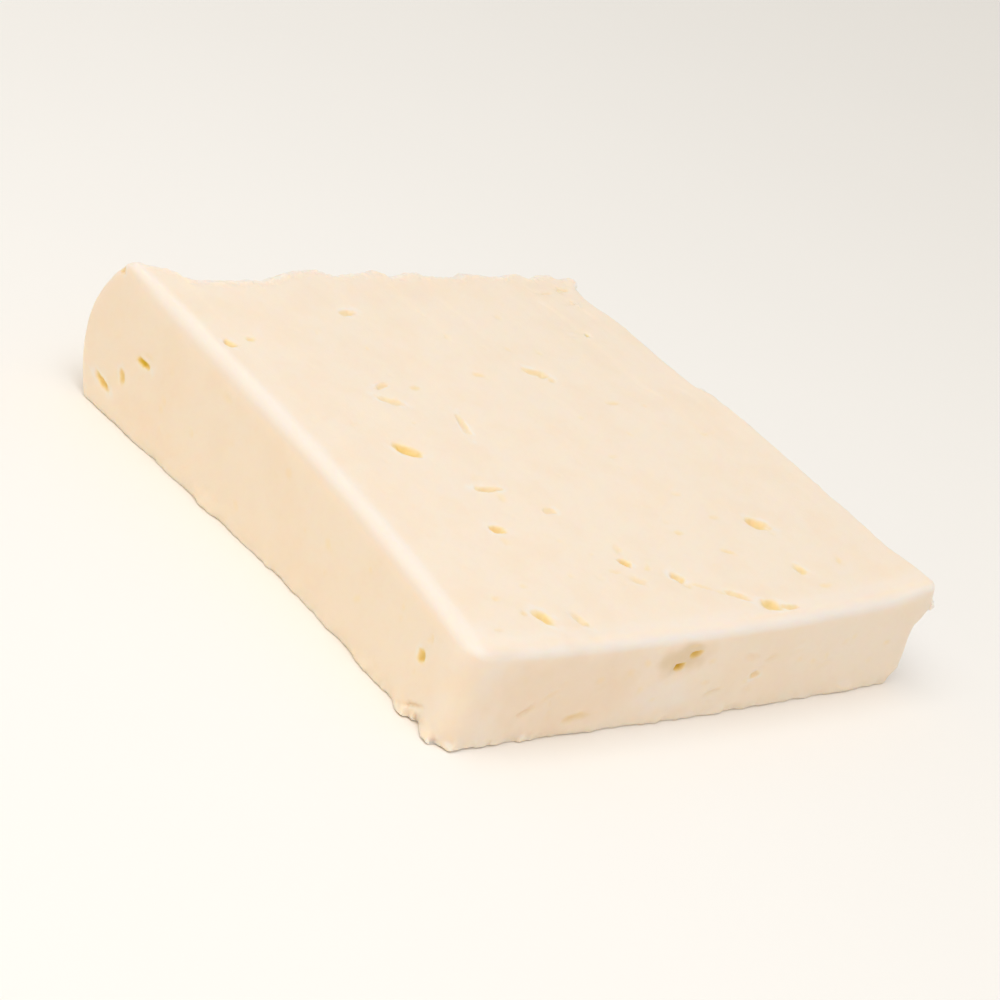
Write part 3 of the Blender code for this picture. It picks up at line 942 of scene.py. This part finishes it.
class Finish:
    """One node tree, written as expressions on its sockets."""

    def __init__(self, tree):
        self.tree = tree

    def feed(self, socket, value):
        """Links a value to a socket, or sets a constant on it."""
        if isinstance(value, Value):
            self.tree.links.new(value.socket, socket)
        else:
            socket.default_value = value

    def node(self, kind, settings=None, sockets=None, output=0):
        """Adds a node, with its settings set first and then its sockets, and gives one of its outputs."""
        node = self.tree.nodes.new(kind)
        for name, value in (settings or {}).items():
            setattr(node, name, value)
        for name, value in (sockets or {}).items():
            self.feed(node.inputs[name], value)
        return Value(self, node.outputs[output])

    def mask(self, name):
        """One of the numbers kept on the mesh."""
        return self.node("ShaderNodeAttribute", {"attribute_name": name}, output="Fac")

    def blend(self, a, b, share):
        """A colour between two, at a share."""
        return self.node("ShaderNodeMix", {"data_type": "RGBA"}, {0: share, 6: a, 7: b}, output=2)

    def grain(self, length, detail=2.0):
        """Noise from 0 to 1 with features of about the given length."""
        place = self.node("ShaderNodeTexCoord", output="Object")
        scale = (1 / length, 1 / length, 1 / length)
        place = self.node("ShaderNodeVectorMath", {"operation": "MULTIPLY"}, {0: place, 1: scale})
        return self.node("ShaderNodeTexNoise", None, {"Vector": place, "Scale": 1.0, "Detail": detail})

    def ramp(self, value, low, high):
        """0 below low, 1 above high and a smooth ramp between."""
        settings = {"interpolation_type": "SMOOTHSTEP"}
        return self.node("ShaderNodeMapRange", settings, {"Value": value, "From Min": low, "From Max": high})

    def bump(self, height, strength, distance):
        """A normal tilted by a height."""
        sockets = {"Height": height, "Strength": strength, "Distance": distance}
        return self.node("ShaderNodeBump", None, sockets)

    def set(self, shader, **values):
        """Sets or links sockets of one of the tree's shaders, with an underscore for each space in a name."""
        for name, value in values.items():
            self.feed(self.tree.nodes[shader].inputs[name.replace("_", " ")], value)


def new_material(name):
    """A new material with its node tree."""
    material = bpy.data.materials.new(name)
    material.use_nodes = True
    return material


def opaque(colour):
    """A colour with a full alpha."""
    return (*colour, 1.0)


def cheese_finish(colours):
    """Moist curd: cream mottles, chalk, painted highlight on the rims and lips, painted amber glow in the
    holes, painted shade in their hearts and in the front's dent, and a fine grain.
    """
    material = new_material("white_cheese")
    finish = Finish(material.node_tree)
    mottles = finish.ramp(finish.grain(length=9 * MM, detail=3.0), low=0.42, high=0.68)
    specks = finish.ramp(finish.grain(length=1.3 * MM), low=0.50, high=0.74)
    colour = finish.blend(opaque(colours.curd), opaque(colours.cream), 0.40 * mottles + 0.14 * specks)
    # Lays on the painted highlight, chalk, painted shade and painted glow in the order of LAYERS
    for name, share in LAYERS:
        colour = finish.blend(colour, opaque(getattr(colours, name)), share * finish.mask(name))
    unevenly = 0.14 * (finish.grain(length=4 * MM, detail=3.0) - 0.5)
    gloss = colours.roughness + unevenly - 0.12 * finish.mask("amber")
    height = finish.grain(length=0.45 * MM, detail=3.0) + 0.6 * finish.grain(length=1.6 * MM)
    finish.set(
        "Principled BSDF",
        Base_Color=colour,
        Roughness=gloss,
        Normal=finish.bump(height, strength=0.35, distance=0.08 * MM),
        Subsurface_Weight=1.0,
        Subsurface_Radius=(1.0, 0.80, 0.58),
        Subsurface_Scale=colours.depth,
        IOR=1.42,
    )
    return material


def floor_finish(colour):
    """Plain pale floor with a faint unevenness."""
    material = new_material("pale_floor")
    finish = Finish(material.node_tree)
    darker = [part * 0.985 for part in colour]
    shade = finish.blend(opaque(colour), opaque(darker), finish.grain(length=60 * MM))
    finish.set("Principled BSDF", Base_Color=shade, Roughness=0.7)
    return material


class CHEESE_OT_slab(Operator):
    """Build the slab of cheese with its crumbs and holes"""

    bl_idname = "cheese.slab"
    bl_label = "Cheese Slab"

    def execute(self, context):
        form, relief = context.scene.cheese_form, context.scene.cheese_relief
        draw = random.Random(relief.seed)
        slab = object_of(slab_mesh(form, relief, draw), SLAB)
        joined(slab, crumb_mesh())
        slab.data.name = SLAB
        self.centre(slab)
        slab.data.materials.clear()
        slab.data.materials.append(cheese_finish(context.scene.cheese_colours))
        slab.data.shade_smooth()
        slab.data.set_sharp_from_angle(angle=math.radians(50))
        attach(slab, BODY)
        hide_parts(NODE)
        return {"FINISHED"}

    def centre(self, slab):
        """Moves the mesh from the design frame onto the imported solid."""
        low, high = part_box(NODE)
        places = read_vectors(slab.data.vertices, "co", len(slab.data.vertices))
        places += np.array((low + high) / 2) * (1, 1, 0) - MIDDLE
        slab.data.vertices.foreach_set("co", places.ravel())
        slab.data.update()


class CHEESE_OT_studio(Operator):
    """Set the floor, the soft lights and the camera"""

    bl_idname = "cheese.studio"
    bl_label = "Studio"

    def execute(self, context):
        studio = context.scene.cheese_studio
        self.floor(studio)
        self.surround(studio)
        self.lamp("key", place=(-0.19, -0.07, 0.52), size=0.46, power=studio.key, colour=(1.0, 0.985, 0.96))
        self.lamp("fill", place=(-1.50, -0.80, 0.50), size=1.2, power=studio.fill, colour=(1.0, 0.62, 0.25))
        self.camera(studio)
        return {"FINISHED"}

    def floor(self, studio):
        """A wide plain floor."""
        mesh = bmesh.new()
        bmesh.ops.create_grid(mesh, x_segments=8, y_segments=8, size=3.0)
        floor = object_of(mesh_from(mesh, "floor"), "floor")
        floor.data.materials.append(floor_finish(studio.floor))

    def surround(self, studio):
        """Soft light from all round, warmer low down."""
        world = bpy.data.worlds.new("studio")
        world.use_nodes = True
        finish = Finish(world.node_tree)
        towards = finish.node("ShaderNodeTexCoord", output="Generated")
        across = finish.node("ShaderNodeSeparateXYZ", None, {"Vector": towards}, output="X")
        height = finish.node("ShaderNodeSeparateXYZ", None, {"Vector": towards}, output="Z")
        upward = finish.ramp(height, low=0.0, high=0.6)
        leftward = finish.ramp(0.0 - across, low=0.2, high=0.8)
        colour = finish.blend(opaque(studio.horizon), opaque(studio.zenith), upward)
        colour = finish.blend(colour, opaque(studio.west), leftward)
        finish.set("Background", Color=colour, Strength=studio.sky)
        bpy.context.scene.world = world

    def lamp(self, name, place, size, power, colour):
        """A square soft box aimed at the slab."""
        light = bpy.data.lights.new(name, "AREA")
        light.shape = "SQUARE"
        light.size = size
        light.energy = power
        light.color = colour
        lamp = object_of(light, name)
        lamp.location = place
        lamp.rotation_euler = (-Vector(place)).to_track_quat("-Z", "Y").to_euler()

    def camera(self, studio):
        """A long lens, rolled so that the level slab looks as if it leaned."""
        lens = bpy.data.cameras.new("camera")
        lens.lens = studio.lens
        lens.sensor_width = 36
        camera = object_of(lens, "camera")
        camera.location = CAMERA_PLACE
        aim = (Vector(CAMERA_AIM) - Vector(CAMERA_PLACE)).to_track_quat("-Z", "Y")
        camera.rotation_mode = "QUATERNION"
        camera.rotation_quaternion = aim @ Matrix.Rotation(math.radians(CAMERA_ROLL), 3, "Z").to_quaternion()
        bpy.context.scene.camera = camera
        bpy.context.scene.view_settings.view_transform = "Standard"


class CHEESE_PT_panel(Panel):
    """Lists the steps that build the cheese and its studio"""

    bl_idname = "CHEESE_PT_panel"
    bl_label = "White Cheese"
    bl_space_type = "VIEW_3D"
    bl_region_type = "UI"
    bl_category = "Cheese"

    def draw(self, context):
        for operator in OPERATORS:
            self.layout.operator(operator.bl_idname)


OPERATORS = (CHEESE_OT_slab, CHEESE_OT_studio)
GROUPS = {
    "cheese_form": CheeseForm,
    "cheese_relief": CheeseRelief,
    "cheese_colours": CheeseColours,
    "cheese_studio": CheeseStudio,
}


def register():
    for kind in (*GROUPS.values(), *OPERATORS, CHEESE_PT_panel):
        bpy.utils.register_class(kind)
    for name, group in GROUPS.items():
        setattr(bpy.types.Scene, name, PointerProperty(type=group))


def unregister():
    for name in GROUPS:
        delattr(bpy.types.Scene, name)
    for kind in reversed((*GROUPS.values(), *OPERATORS, CHEESE_PT_panel)):
        bpy.utils.unregister_class(kind)


def main():
    register()
    bpy.ops.cheese.slab()
    bpy.ops.cheese.studio()


if __name__ == "__main__":
    main()
